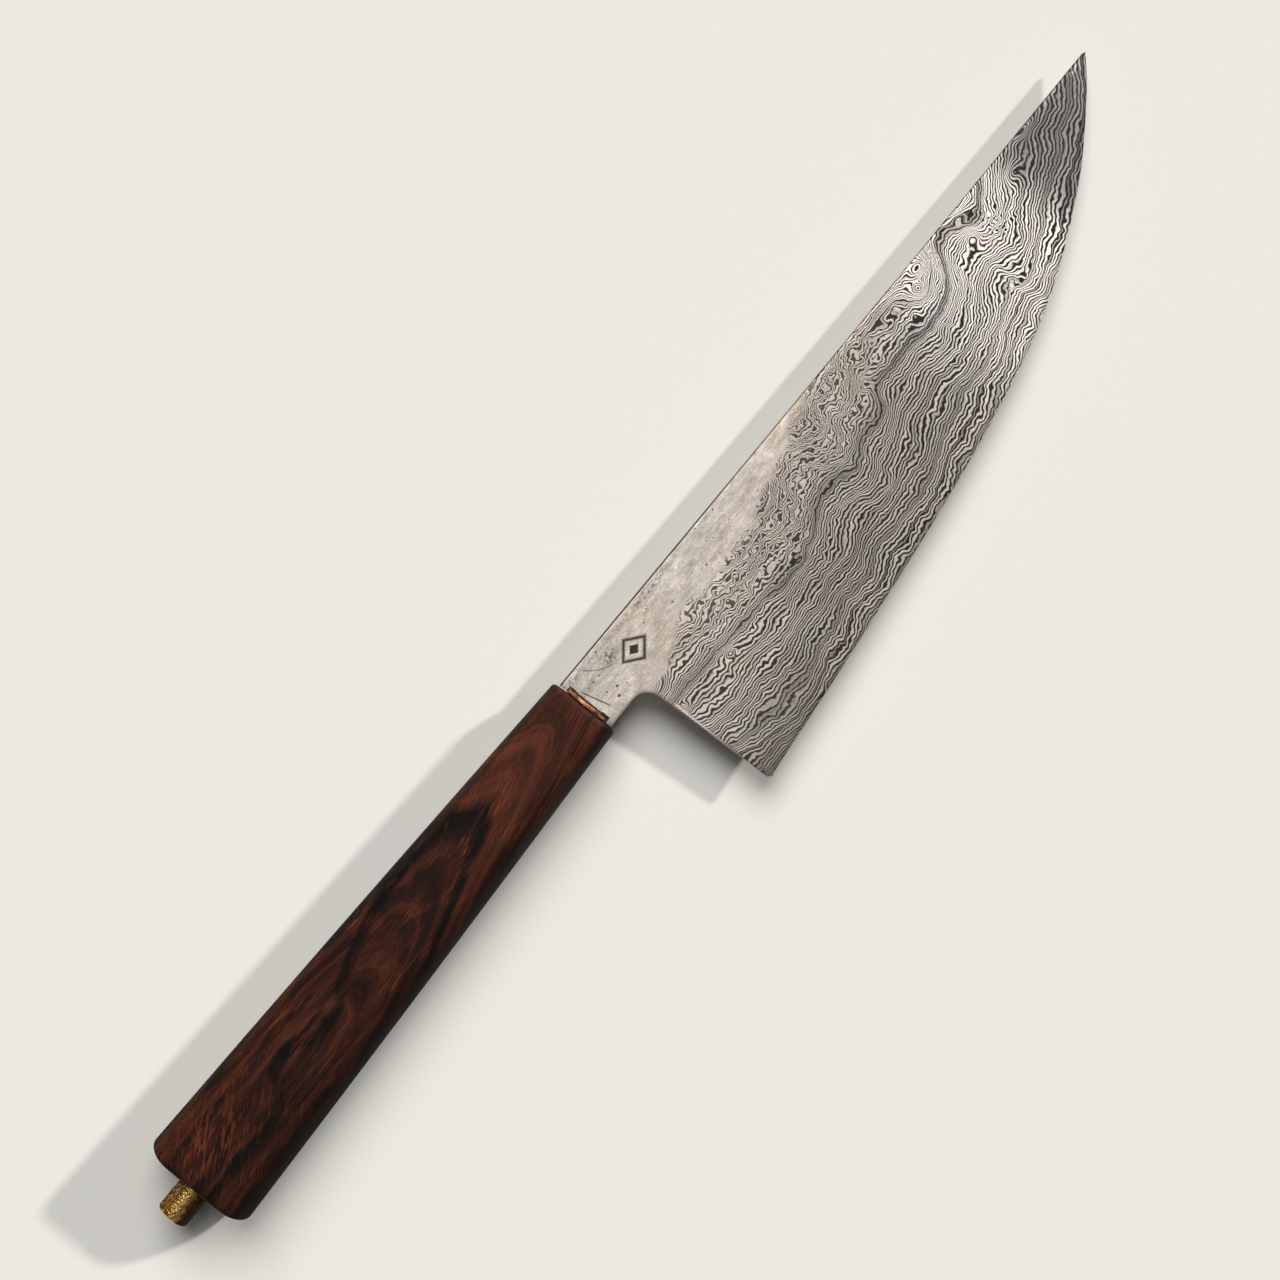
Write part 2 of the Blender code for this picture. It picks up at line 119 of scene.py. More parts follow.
# Spacer, liner, pins and nut
SPACER_X = (0.5, 1.4)
SPACER_ROUND = 0.18
LINER_X = (1.6, 1.85)
LINER_ROUND = 0.05
DISC_RADIUS = 5.9
PIN_HOLE_RADIUS = 0.85
PIN_OFFSET = 4.1
PIN_HOLE_X = -5.4
NUT_FACE_X = -138.2
NUT_END_X = -155.2
NUT_RADIUS = 4.1
NUT_BORE_RADIUS = 3.15
NUT_BORE_END_X = -152.0
NUT_END_ROUND = 0.9
NUT_SIDES = 100
DRIVER_SLOT_HALF = 0.6
DRIVER_SLOT_DEPTH = 1.5
CUTTER_OVERRUN = 2.0

# Camera and light, in the knife's frame
CAMERA_OVER = (20.8, -0.24)
CAMERA_HEIGHT = 590.0
CAMERA_LENS = 70.0
CAMERA_RIGHT = (0.6295, -0.7770)
KEY = {"direction": (0.92, -0.40), "elevation": 30.0, "spread": 3.4, "strength": 1.86,
       "color": (1.0, 0.985, 0.955)}
FILL = {"direction": (0.78, 0.63), "elevation": 52.0, "spread": 42.0, "strength": 2.45,
        "color": (1.0, 0.99, 0.98)}
OVERHEAD = {"direction": (-0.2, 0.98), "elevation": 86.0, "spread": 24.0, "strength": 0.20,
            "color": (1.0, 0.98, 0.96)}
SKY_STRENGTH = 0.19
BACKDROP_STRENGTH = 0.85


# ---------------------------------------------------------------- the knife's frame

def knife_matrix(record):
    """World place of the knife's frame, in metres, from the nut's turning joint."""
    joint = next(j for j in record["behaviour"]["joints"] if j["name"] == "nut_spin")
    along = -Vector(joint["axis"]).normalized()
    across = Vector((0.0, 1.0, 0.0))
    datum = Vector(joint["pos_m"]) - along * NUT_FACE_X * MM
    turn = Matrix((along, across, along.cross(across))).transposed()
    return Matrix.Translation(datum) @ turn.to_4x4()


def new_object(name, mesh):
    item = bpy.data.objects.new(name, mesh)
    bpy.context.scene.collection.objects.link(item)
    return item


def make_mesh(name, points, faces, sharp_degrees=35.0):
    """Closed mesh in knife millimetres, smooth apart from its sharp edges."""
    mesh = bpy.data.meshes.new(name)
    mesh.from_pydata([tuple(point) for point in points], [], faces)
    work = bmesh.new()
    work.from_mesh(mesh)
    bmesh.ops.recalc_face_normals(work, faces=work.faces)
    work.to_mesh(mesh)
    work.free()
    mesh.shade_smooth()
    mesh.set_sharp_from_angle(angle=math.radians(sharp_degrees))
    return mesh


def cut(mesh, cutters):
    """The mesh with closed cutter meshes taken out of it."""
    target = new_object(mesh.name + "_uncut", mesh)
    tools = []
    for cutter in cutters:
        tool = new_object(cutter.name, cutter)
        step = target.modifiers.new(cutter.name, "BOOLEAN")
        step.operation = "DIFFERENCE"
        step.solver = "EXACT"
        step.object = tool
        tools.append(tool)
    bpy.context.view_layer.update()
    evaluated = target.evaluated_get(bpy.context.evaluated_depsgraph_get())
    result = bpy.data.meshes.new_from_object(evaluated)
    for item in [target, *tools]:
        bpy.data.objects.remove(item, do_unlink=True)
    return result


def interpolate(table, x):
    """Height at x on straight lines between the table's points."""
    for (x0, y0), (x1, y1) in zip(table, table[1:]):
        if x <= x1:
            return y0 + (y1 - y0) * max(0.0, (x - x0) / (x1 - x0))
    return table[-1][1]


def loft(rings):
    """Closed skin over rings of equal length, with a flat cap at each end."""
    sides = len(rings[0])
    points = [point for ring in rings for point in ring]
    faces = [tuple(range(sides)), tuple(range(len(points) - sides, len(points)))]
    for row in range(len(rings) - 1):
        for side in range(sides):
            after = (side + 1) % sides
            low = row * sides
            high = low + sides
            faces.append((low + side, low + after, high + after, high + side))
    return points, faces


def turned(profile, sides, offset_z=0.0):
    """Skin turned about X from (x, radius) pairs."""
    angles = [math.tau * side / sides for side in range(sides)]
    return loft([[(x, r * math.cos(a), offset_z + r * math.sin(a)) for a in angles] for x, r in profile])


def quarter_round(end_x, inward, radius, steps):
    """(x, inset) pairs round an end's edge, from the side to the end face."""
    angles = [math.pi / 2 * step / steps for step in range(steps + 1)]
    return [(end_x + inward * radius * (1 - math.sin(a)), radius * (1 - math.cos(a))) for a in angles]


def block(name, span_x, half_y, half_z, end_half_y=None):
    """Cutter block along X, which may taper towards its first end."""
    widths = (end_half_y or half_y, half_y)
    corners = ((-1, -1), (1, -1), (1, 1), (-1, 1))
    rings = [[(x, y * w, z * half_z) for y, z in corners] for x, w in zip(span_x, widths)]
    return make_mesh(name, *loft(rings))


# ---------------------------------------------------------------- blade

def spine_y(x):
    return NECK_HALF - SPINE_DROP * x + SPINE_CURVE * x * x


def edge_curve():
    """Points of the smooth curve through the edge's knots, from the heel to the tip."""
    knots = [Vector(knot) for knot in EDGE_KNOTS]
    knots = [2 * knots[0] - knots[1]] + knots + [2 * knots[-1] - knots[-2]]
    points = []
    for a, b, c, d in zip(knots, knots[1:], knots[2:], knots[3:]):
        for step in range(EDGE_STEPS):
            t = step / EDGE_STEPS
            points.append(0.5 * (2 * b + (c - a) * t + (2 * a - 5 * b + 4 * c - d) * t * t
                                 + (3 * b - a - 3 * c + d) * t ** 3))
    return points + [knots[-2]]


def resample(points, spacing):
    """The same line with points about spacing apart; its corners are kept."""
    fine = [Vector(points[0])]
    for a, b in zip(points, points[1:]):
        a, b = Vector(a), Vector(b)
        count = max(1, round((b - a).length / spacing))
        fine += [a.lerp(b, step / count) for step in range(1, count + 1)]
    return fine


def rounded_lines():
    """The two open lines whose corners are rounded: the spine, and the heel, choil and neck."""
    spine = [Vector((x, spine_y(x))) for x in np.linspace(LIP_X, SPINE_END_X, SPINE_POINTS)]
    centre_x, centre_y = CHOIL_CENTRE
    choil = [Vector((centre_x + CHOIL_RADIUS * math.cos(a), centre_y + CHOIL_RADIUS * math.sin(a)))
             for a in np.radians(np.linspace(0, 90, 13))]
    heel = [Vector(HEEL_LINE[2]), Vector(HEEL_LINE[1]), Vector(HEEL_LINE[0])]
    under = resample([*heel, *choil, Vector((LIP_X, -NECK_HALF))], 0.7)
    return spine, under


def inward(line, depth):
    """The line moved to its right-hand side by depth, without its two end points."""
    moved = []
    for before, here, after in zip(line, line[1:], line[2:]):
        along = (after - before).normalized()
        moved.append(here + Vector((along.y, -along.x)) * depth)
    return moved


def distance_to_line(points, line):
    """Shortest distance from each point to an open line."""
    start = np.array([tuple(p) for p in line[:-1]])
    step = np.array([tuple(p) for p in line[1:]]) - start
    offset = points[:, None, :] - start[None, :, :]
    share = np.clip((offset * step).sum(2) / (step * step).sum(1), 0, 1)
    return np.sqrt(((offset - share[..., None] * step) ** 2).sum(2)).min(1)


def body_thickness(x, y, edge):
    """Thickness of the ground steel before its corners are rounded."""
    if x < LIP_X:
        return NECK_THICKNESS if x > TANG_END_X - 0.2 else TONGUE_THICKNESS
    spine = interpolate(SPINE_THICKNESS, x)
    depth = spine_y(x) - y
    reach = spine_y(x) - interpolate(edge, max(x, edge[0][0]))
    band = min(interpolate(FLAT_BAND, x), reach / 2)
    share = max(0.0, min(1.0, (depth - band) / max(reach - BEVEL_WIDTH - band, 1.0)))
    thickness = BEVEL_THICKNESS + (spine - BEVEL_THICKNESS) * (1 - share) ** GRIND_HOLLOW
    bevel = max(0.0, min(1.0, (reach - depth) / BEVEL_WIDTH))
    wave = FORGE_WAVE * noise.noise(Vector((x / 13.0, y / 8.0, 0.3))) * min(1.0, thickness)
    return min(thickness + wave, EDGE_THICKNESS + (thickness - EDGE_THICKNESS) * bevel)


def blade_outline(edge, spine, under):
    """Closed outline of the tang's upper side, the spine, the edge, the heel and the tang's lower side."""
    tang = [Vector(p) for p in ((TONGUE_END_X, TONGUE_HALF), (TANG_END_X - 0.4, TONGUE_HALF),
                                (TANG_END_X, TANG_END_HALF), (NECK_X, TANG_HALF), (NECK_X, SEAT_HALF),
                                (LIP_X, SEAT_HALF))]
    tang_under = [Vector((p.x, -p.y)) for p in reversed(tang)]
    return tang + spine + edge[::-1] + [Vector(HEEL_LINE[3])] + under + tang_under


def bevel_line(edge):
    """Line along the top of the bevel, from the heel to where the bevel runs out."""
    line = []
    for here, after in zip(edge[:-BEVEL_RUN_OUT], edge[1:]):
        along = (after - here).normalized()
        line.append(here + Vector((-along.y, along.x)) * BEVEL_WIDTH)
    return line


def side_points(edge, under):
    """Even points over the blade's side, clear of its borders."""
    rows = np.arange(*NET_Y, NET_STEP * NET_ROW_STEP)
    columns = np.arange(*NET_X, NET_STEP)
    net = np.array([(x + (row % 2) * NET_STEP / 2, y) for row, y in enumerate(rows) for x in columns])
    lowest = np.interp(net[:, 0], [p.x for p in edge], [p.y for p in edge])
    highest = NECK_HALF - SPINE_DROP * net[:, 0] + SPINE_CURVE * net[:, 0] ** 2
    heel_x = np.interp(-net[:, 1], [-p.y for p in reversed(under)], [p.x for p in reversed(under)])
    clear = CORNER_ROUND + NET_CLEARANCE
    inside = (net[:, 1] < highest - clear) & (net[:, 1] > lowest + BEVEL_WIDTH + 0.6)
    inside &= (net[:, 1] > -NECK_HALF) | (net[:, 0] > heel_x)
    inside &= distance_to_line(net, under) > clear
    inside &= distance_to_line(net, edge) > BEVEL_WIDTH + 0.5
    return [Vector(p) for p in net[inside]]


def half_thickness(point, depth, edge_table):
    """Height of the steel above its middle plane, lower within the rounded corners."""
    half = 0.5 * body_thickness(*point, edge_table)
    corner = min(CORNER_ROUND, 0.8 * half)
    if abs(point[1]) > TANG_HALF + 0.1 and depth < corner:
        half += math.sqrt(max(0.0, corner ** 2 - (corner - depth) ** 2)) - corner
    return half


def build_blade():
    """Blade, neck and stick tang in one skin: a fine flat net, given its thickness point by point."""
    edge = edge_curve()
    spine, under = rounded_lines()
    outline = blade_outline(edge, spine, under)
    flat = list(outline)
    chains = []

    def add_chain(row):
        chains.extend((len(flat) + step, len(flat) + step + 1) for step in range(len(row) - 1))
        flat.extend(row)

    for turn in CORNER_TURNS:
        depth = CORNER_ROUND * (1 - math.cos(math.radians(turn)))
        add_chain(inward(spine[:-6], depth))
        add_chain(inward(under[2:], depth))
    bevel_first = len(flat)
    bevel = bevel_line(edge)
    add_chain(bevel)
    bevel_last = len(flat)
    add_chain([p + Vector((0.0, 0.25)) for p in bevel])
    flat += side_points(edge, under)
    loop = list(range(len(outline)))
    places, _, triangles, origins, *_ = delaunay_2d_cdt(flat, chains, [loop], 1, 1e-6)

    net = np.array([tuple(p) for p in places])
    depths = np.minimum(distance_to_line(net, spine), distance_to_line(net, under))
    edge_table = [(p.x, p.y) for p in edge]
    halves = [half_thickness(point, depth, edge_table) for point, depth in zip(net, depths)]
    count = len(places)
    points = [(x, y, half) for (x, y), half in zip(net, halves)]
    points += [(x, y, -half) for (x, y), half in zip(net, halves)]
    directed = {(a, b) for face in triangles for a, b in zip(face, [*face[1:], face[0]])}
    faces = [tuple(face) for face in triangles]
    faces += [tuple(index + count for index in reversed(face)) for face in triangles]
    faces += [(b, a, a + count, b + count) for a, b in sorted(directed) if (b, a) not in directed]
    mesh = make_mesh("blade_steel", points, faces, 40.0)

    on_bevel = set()
    for place, sources in enumerate(origins):
        if any(bevel_first <= source < bevel_last for source in sources):
            on_bevel |= {place, place + count}
    for line in mesh.edges:
        if line.vertices[0] in on_bevel and line.vertices[1] in on_bevel:
            line.use_edge_sharp = True
    return mesh


# ---------------------------------------------------------------- handle, discs and nut

def soft_minimum(a, b, blend):
    """The smaller of two numbers, rounded where they are about the same."""
    return min(a, b) - max(blend - abs(a - b), 0.0) ** 2 / (4 * blend)


def handle_ring(x, inset=0.0, scale=1.0, sides=112):
    """Oval section at x whose broad sides are flats with soft borders."""
    share = min(1.0, max(0.0, -x / HANDLE_LENGTH))
    half_y = FRONT_HALF_WIDTH + (BUTT_HALF_WIDTH - FRONT_HALF_WIDTH) * share
    half_y += WIDTH_CROWN * math.sin(math.pi * share)
    half_z = FRONT_HALF_THICKNESS - (BUTT_HALF_THICKNESS - FRONT_HALF_THICKNESS) * x / HANDLE_LENGTH
    half_y, half_z = (half_y - inset) * scale, (half_z - inset) * scale
    ring = []
    for side in range(sides):
        angle = math.tau * side / sides
        rise = half_z / FLAT_CUT * abs(math.sin(angle))
        height = soft_minimum(rise, half_z, FLAT_BORDER * half_z)
        z = math.copysign(height, math.sin(angle)) if rise > 1e-9 else 0.0
        ring.append((x, half_y * math.cos(angle), z))
    return ring


def build_handle():
    """Tapered oval handle with rounded ends, a tang slot, a rod bore, a counterbore and two pin holes."""
    butt = [(-HANDLE_LENGTH, BUTT_ROUND + 4.0, 1.0), (-HANDLE_LENGTH, BUTT_ROUND + 0.4, 1.0)]
    butt += [(x, inset, 1.0) for x, inset in quarter_round(-HANDLE_LENGTH, 1, BUTT_ROUND, 8)[::-1]]
    along = [(x, 0.0, 1.0) for x in np.linspace(-HANDLE_LENGTH + BUTT_ROUND + 2, -FRONT_ROUND - 2, 48)]
    front = [(x, inset, 1.0) for x, inset in quarter_round(0.0, -1, FRONT_ROUND, 6)]
    front += [(0.0, FRONT_ROUND + 0.3, 1.0), (0.12, FRONT_ROUND + 2.0, 1.0), (0.25, FRONT_ROUND + 2.8, 1.0)]
    rings = [handle_ring(x, inset, scale) for x, inset, scale in butt + along + front]
    mesh = make_mesh("handle_rosewood", *loft(rings), 40.0)
    cutters = [block("slot_cutter", (TANG_END_X - 2, CUTTER_OVERRUN), TANG_HALF + SLOT_CLEARANCE,
                     NECK_THICKNESS / 2 + SLOT_CLEARANCE, TANG_END_HALF + SLOT_CLEARANCE)]
    behind = -HANDLE_LENGTH - CUTTER_OVERRUN
    shapes = [("bore_cutter", COUNTERBORE_FLOOR_X - CUTTER_OVERRUN, TANG_END_X + 1, BORE_RADIUS, 0.0, 48),
              ("counterbore_cutter", behind, COUNTERBORE_FLOOR_X, COUNTERBORE_RADIUS, 0.0, 64)]
    shapes += [(f"pin_cutter_{side}", PIN_HOLE_X, CUTTER_OVERRUN, PIN_HOLE_RADIUS, side * PIN_OFFSET, 16)
               for side in (-1, 1)]
    for name, back, forward, radius, offset, sides in shapes:
        cutters.append(make_mesh(name, *turned([(back, radius), (forward, radius)], sides, offset)))
    return cut(mesh, cutters)


def build_disc(name, span_x, edge_round, holes):
    """Round washer with rounded rims and a slot for the tang."""
    back, forward = span_x
    profile = [(x, DISC_RADIUS - inset) for x, inset in quarter_round(back, 1, edge_round, 4)[::-1]]
    profile += [(x, DISC_RADIUS - inset) for x, inset in quarter_round(forward, -1, edge_round, 4)]
    mesh = make_mesh(name, *turned(profile, 96), 30.0)
    reach = (back - CUTTER_OVERRUN, forward + CUTTER_OVERRUN)
    cutters = [block("disc_slot", reach, TANG_HALF + 0.3, NECK_THICKNESS / 2 + 0.3)]
    for side in (-1, 1) if holes else ():
        pin = turned([(reach[0], PIN_HOLE_RADIUS), (reach[1], PIN_HOLE_RADIUS)], 16, side * PIN_OFFSET)
        cutters.append(make_mesh(f"pin_{side}", *pin))
    return cut(mesh, cutters)


def build_nut():
    """Hand-filed barrel with a blind bore, a rounded end and a driver slot."""
    profile = [(NUT_BORE_END_X, 0.4), (NUT_BORE_END_X, NUT_BORE_RADIUS), (NUT_FACE_X, NUT_BORE_RADIUS),
               (NUT_FACE_X, NUT_RADIUS - 0.2), (NUT_FACE_X - 0.2, NUT_RADIUS)]
    profile += [(x, NUT_RADIUS) for x in np.linspace(NUT_FACE_X - 0.6, NUT_END_X + NUT_END_ROUND + 0.5, 34)]
    profile += [(x, NUT_RADIUS - inset) for x, inset in quarter_round(NUT_END_X, 1, NUT_END_ROUND, 7)]
    profile += [(NUT_END_X, NUT_RADIUS - NUT_END_ROUND - 0.3), (NUT_END_X, 0.4)]
    points, faces = turned(profile, NUT_SIDES)
    worn = []
    for x, y, z in points:
        radius = math.hypot(y, z)
        dent = 0.0
        if radius > NUT_BORE_RADIUS + 0.3:
            point = Vector((x, y, z))
            dent = 0.05 * noise.noise(point * 0.55) + 0.02 * noise.noise(point * 1.9) - 0.03
        scale = 1 + dent / max(radius, 0.5)
        worn.append((x, y * scale, z * scale))
    mesh = make_mesh("butt_nut", worn, faces, 45.0)
    slot = block("driver_slot", (NUT_END_X - CUTTER_OVERRUN, NUT_END_X + DRIVER_SLOT_DEPTH),
                 NUT_RADIUS + CUTTER_OVERRUN, DRIVER_SLOT_HALF)
    return cut(mesh, [slot])


# ---------------------------------------------------------------- material nodes

class Value:
    """A number inside a material's node tree, with arithmetic."""

    def __init__(self, paint, socket):
        self.paint = paint
        self.socket = socket

    def __add__(self, other):
        return self.paint.math("ADD", self, other)

    def __sub__(self, other):
        return self.paint.math("SUBTRACT", self, other)

    def __rsub__(self, other):
        return self.paint.math("SUBTRACT", other, self)

    def __mul__(self, other):
        return self.paint.math("MULTIPLY", self, other)

    def __truediv__(self, other):
        return self.paint.math("DIVIDE", self, other)

    def __pow__(self, other):
        return self.paint.math("POWER", self, other)

    __radd__ = __add__
    __rmul__ = __mul__

    def __abs__(self):
        return self.paint.math("ABSOLUTE", self)

    def clamped(self):
        return self.paint.math("ADD", self, 0.0, clamp=True)


class Paint:
    """Builds one material. Positions inside it are in the knife's frame, in millimetres."""

    def __init__(self, name, place):
        self.material = bpy.data.materials.new(name)
        self.material.use_nodes = True
        self.tree = self.material.node_tree
        self.shader = self.tree.nodes["Principled BSDF"]
        coordinates = self.tree.nodes.new("ShaderNodeTexCoord")
        mapping = self.tree.nodes.new("ShaderNodeMapping")
        mapping.vector_type = "TEXTURE"
        mapping.inputs["Location"].default_value = place.translation
        mapping.inputs["Rotation"].default_value = place.to_euler()
        mapping.inputs["Scale"].default_value = (MM, MM, MM)
        self.tree.links.new(coordinates.outputs["Object"], mapping.inputs["Vector"])
        self.point = mapping.outputs["Vector"]
        split = self.tree.nodes.new("ShaderNodeSeparateXYZ")
        self.tree.links.new(self.point, split.inputs[0])
        self.x, self.y, self.z = (Value(self, split.outputs[axis]) for axis in "XYZ")

    def feed(self, socket, value):
        if isinstance(value, Value):
            value = value.socket
        if isinstance(value, bpy.types.NodeSocket):
            self.tree.links.new(value, socket)
        else:
            socket.default_value = value

    def math(self, operation, *values, clamp=False):
        node = self.tree.nodes.new("ShaderNodeMath")
        node.operation = operation
        node.use_clamp = clamp
        for socket, value in zip(node.inputs, values):
            self.feed(socket, value)
        return Value(self, node.outputs[0])

    def vector(self, x, y, z):
        node = self.tree.nodes.new("ShaderNodeCombineXYZ")
        for socket, value in zip(node.inputs, (x, y, z)):
            self.feed(socket, value)
        return node.outputs[0]

    def noise(self, x, y, z, detail=2.0, roughness=0.5, distortion=0.0):
        node = self.tree.nodes.new("ShaderNodeTexNoise")
        self.feed(node.inputs["Vector"], self.vector(x, y, z))
        node.inputs["Scale"].default_value = 1.0
        node.inputs["Detail"].default_value = detail
        node.inputs["Roughness"].default_value = roughness
        node.inputs["Distortion"].default_value = distortion
        return Value(self, node.outputs["Fac"])

    def noise_line(self, w, detail=1.0, roughness=0.5):
        """Noise along one number."""
        node = self.tree.nodes.new("ShaderNodeTexNoise")
        node.noise_dimensions = "1D"
        self.feed(node.inputs["W"], w)
        node.inputs["Scale"].default_value = 1.0
        node.inputs["Detail"].default_value = detail
        node.inputs["Roughness"].default_value = roughness
        return Value(self, node.outputs["Fac"])

    def step(self, value, low, high, out_low=0.0, out_high=1.0):
        """Smooth step from low to high."""
        node = self.tree.nodes.new("ShaderNodeMapRange")
        node.interpolation_type = "SMOOTHSTEP"
        for name, setting in zip(("Value", "From Min", "From Max", "To Min", "To Max"),
                                 (value, low, high, out_low, out_high)):
            self.feed(node.inputs[name], setting)
        return Value(self, node.outputs[0])

    def peak(self, value, centre, half_width):
        """One at the centre, falling to nothing half_width away."""
        return self.step(abs(value - centre), 0.0, half_width, 1.0, 0.0)

    def spot(self, x, y, size_x, size_y):
        """Round bump at (x, y)."""
        reach = ((self.x - x) / size_x) ** 2.0 + ((self.y - y) / size_y) ** 2.0
        return self.math("EXPONENT", reach * -1.0)

    def sine(self, value):
        return self.math("SINE", value)

    def largest(self, value, *others):
        for other in others:
            value = self.math("MAXIMUM", value, other)
        return value

    def as_seen(self, tone):
        """Linear value of a tone given as it looks, from 0 for black to 1 for white."""
        return self.math("POWER", tone.clamped(), DISPLAY_GAMMA)

    def curve(self, value, knots):
        """Smooth curve through (value, height) knots."""
        low = min(height for _, height in knots)
        span = max(height for _, height in knots) - low
        first = knots[0][0]
        reach = knots[-1][0] - first
        node = self.tree.nodes.new("ShaderNodeFloatCurve")
        line = node.mapping.curves[0]
        while len(line.points) < len(knots):
            line.points.new(0.5, 0.5)
        for point, (place, height) in zip(line.points, knots):
            point.location = ((place - first) / reach, (height - low) / span)
        node.mapping.update()
        self.feed(node.inputs["Value"], ((value - first) / reach).clamped())
        return Value(self, node.outputs[0]) * span + low

    def ramp(self, value, stops):
        node = self.tree.nodes.new("ShaderNodeValToRGB")
        self.feed(node.inputs[0], value)
        elements = node.color_ramp.elements
        while len(elements) < len(stops):
            elements.new(0.5)
        for element, (place, color) in zip(elements, stops):
            element.position = place
            element.color = (*color, 1.0)
        return node.outputs["Color"]

    def mix(self, share, a, b, blend="MIX"):
        node = self.tree.nodes.new("ShaderNodeMix")
        node.data_type = "RGBA"
        node.blend_type = blend
        self.feed(node.inputs[0], share)
        for socket, value in ((node.inputs[6], a), (node.inputs[7], b)):
            self.feed(socket, (*value, 1.0) if isinstance(value, tuple) else value)
        return node.outputs[2]

    def grey(self, value):
        node = self.tree.nodes.new("ShaderNodeCombineColor")
        for socket in node.inputs[:3]:
            self.feed(socket, value)
        return node.outputs[0]

    def finish(self, color, roughness, metallic, height=None, height_mm=0.02, specular=0.5):
        self.feed(self.shader.inputs["Base Color"], color)
        self.feed(self.shader.inputs["Roughness"], roughness)
        self.feed(self.shader.inputs["Metallic"], metallic)
        self.feed(self.shader.inputs["Specular IOR Level"], specular)
        if height is not None:
            bump = self.tree.nodes.new("ShaderNodeBump")
            bump.inputs["Strength"].default_value = 1.0
            bump.inputs["Distance"].default_value = height_mm * MM
            self.feed(bump.inputs["Height"], height)
            self.tree.links.new(bump.outputs["Normal"], self.shader.inputs["Normal"])
        return self.material


# ---------------------------------------------------------------- materials

DISPLAY_GAMMA = 2.2
LAYERS = 28.0                # layers of the pattern between its two guiding lines
# the guiding lines: height along the blade of one layer near the spine and one near the edge, in mm
UPPER_LAYER = [(10, -13.0), (22, -14.6), (33, -15.4), (51, -16.0), (62, -16.0), (68, -14.2), (75, -10.6),
               (85, -12.6), (91, -9.8), (98, -8.5), (104, -4.7), (111, -4.4), (121, -5.0), (129, -5.4),
               (135, 0.0), (139, 4.6), (144, 4.0), (149, 2.0), (153, 4.4), (158, 10.0), (166, 17.0),
               (178, 25.0), (188, 31.0), (198, 38.0)]
LOWER_LAYER = [(10, -36.0), (15, -36.7), (22, -38.5), (35, -39.4), (42, -38.5), (55, -36.7), (68, -34.9),
               (76, -34.1), (86, -34.1), (95, -32.2), (104, -29.6), (112, -27.7), (123, -25.6),
               (130, -23.7), (137, -20.0), (141, -18.8), (145, -20.6), (149, -19.6), (157, -16.6),
               (165, -13.3), (172, -9.9), (178, -7.1), (189, 0.5), (198, 6.0)]
# eyes in the pattern: centre x and y, size along and across, height, all in mm
EYES = [(15.3, -18.7, 1.3, 1.2, 2.6), (31.9, -18.7, 1.5, 1.1, -2.8), (59.0, -18.2, 2.2, 1.5, 2.4),
        (38.8, -43.0, 2.6, 1.6, 2.4), (101.0, -3.0, 2.4, 2.0, -3.6), (118.5, 3.0, 5.0, 1.8, -2.6),
        (126.7, 0.2, 2.2, 2.2, 4.4), (131.0, 4.0, 2.9, 1.5, 3.4), (144.2, -1.2, 1.9, 2.2, -3.6),
        (147.3, 4.0, 2.6, 1.4, -2.4), (162.0, 1.0, 3.0, 1.8, -3.2), (172.2, 5.1, 2.7, 1.2, 3.6)]
# pits in the neck: centre x and y and size, in mm
PITS = [(6.1, 2.0, 0.30), (6.3, -1.9, 0.28), (9.0, -2.9, 0.45), (7.5, -4.7, 0.50), (27.5, 3.3, 0.26),
        (24.5, 1.6, 0.24), (12.0, 6.1, 0.35)]
STEEL_TINT = [(0.32, (1.0, 0.86, 0.735)), (0.62, (1.0, 0.90, 0.805)), (0.95, (1.0, 0.94, 0.885))]
RUST = (0.62, 0.42, 0.28)


def pattern_cover(p, side):
    """Share of the pattern that shows: none on the neck nor in a wedge under the spine."""
    border = p.noise(p.x / 9.0, p.y / 5.0, side, 3.0, 0.6) * 8.0 - 4.0
    fall = p.step(p.x, 16.0, 34.0, -9.0, -3.2) + p.step(p.x, 48.0, 104.0, 0.0, 11.5)
    below_wedge = p.step(fall - p.y + border, -1.4, 2.6)
    return below_wedge * p.step(p.x + border * 0.3, 10.5, 14.5)


def forged_layers(p, side):
    """The layers' count, up from the guiding line by the edge, and how wildly they curl."""
    x, y, z = p.x, p.y, p.z
    upper = p.curve(x, UPPER_LAYER)
    lower = p.curve(x, LOWER_LAYER)
    above = p.step(y - upper, -3.0, 5.0)
    wild = above * p.step(x, 16.0, 40.0) * p.step(x, 104.0, 120.0, 1.0, 0.25)
    middle = p.noise(x / 9.0, y / 7.0, side + 3.0, 0.0) - 0.5
    kink = p.noise(x / 2.6, y / 3.4, side + 5.0, 1.0, 0.6) - 0.5
    ripple = p.noise(x / 1.1, y / 1.5, side + 6.0, 1.0) - 0.5
    curl = p.noise(x / 4.4, y / 3.3, side + 8.0, 2.0, 0.55) - 0.5
    worms = p.noise(x / 2.0, y / 2.0, side + 12.0, 1.0) - 0.5
    open_plate = p.spot(151.0, -4.0, 4.0, 3.4) + p.spot(143.0, -16.0, 6.0, 3.0) * 0.5
    choil_fan = p.step(x, 12.0, 21.0, 4.5, 0.0) * p.step(y, -20.0, -11.0)
    drop = middle * 4.5 + kink * 2.0 + ripple * 0.45 + curl * wild * 5.0 + choil_fan
    drop = drop + worms * (open_plate * 6.0 + wild * 1.6)
    for centre_x, centre_y, size_x, size_y, height in EYES:
        drop = drop + p.spot(centre_x, centre_y, size_x, size_y) * height
    return (y + drop - lower) / (upper - lower) * LAYERS + z * 0.7, wild


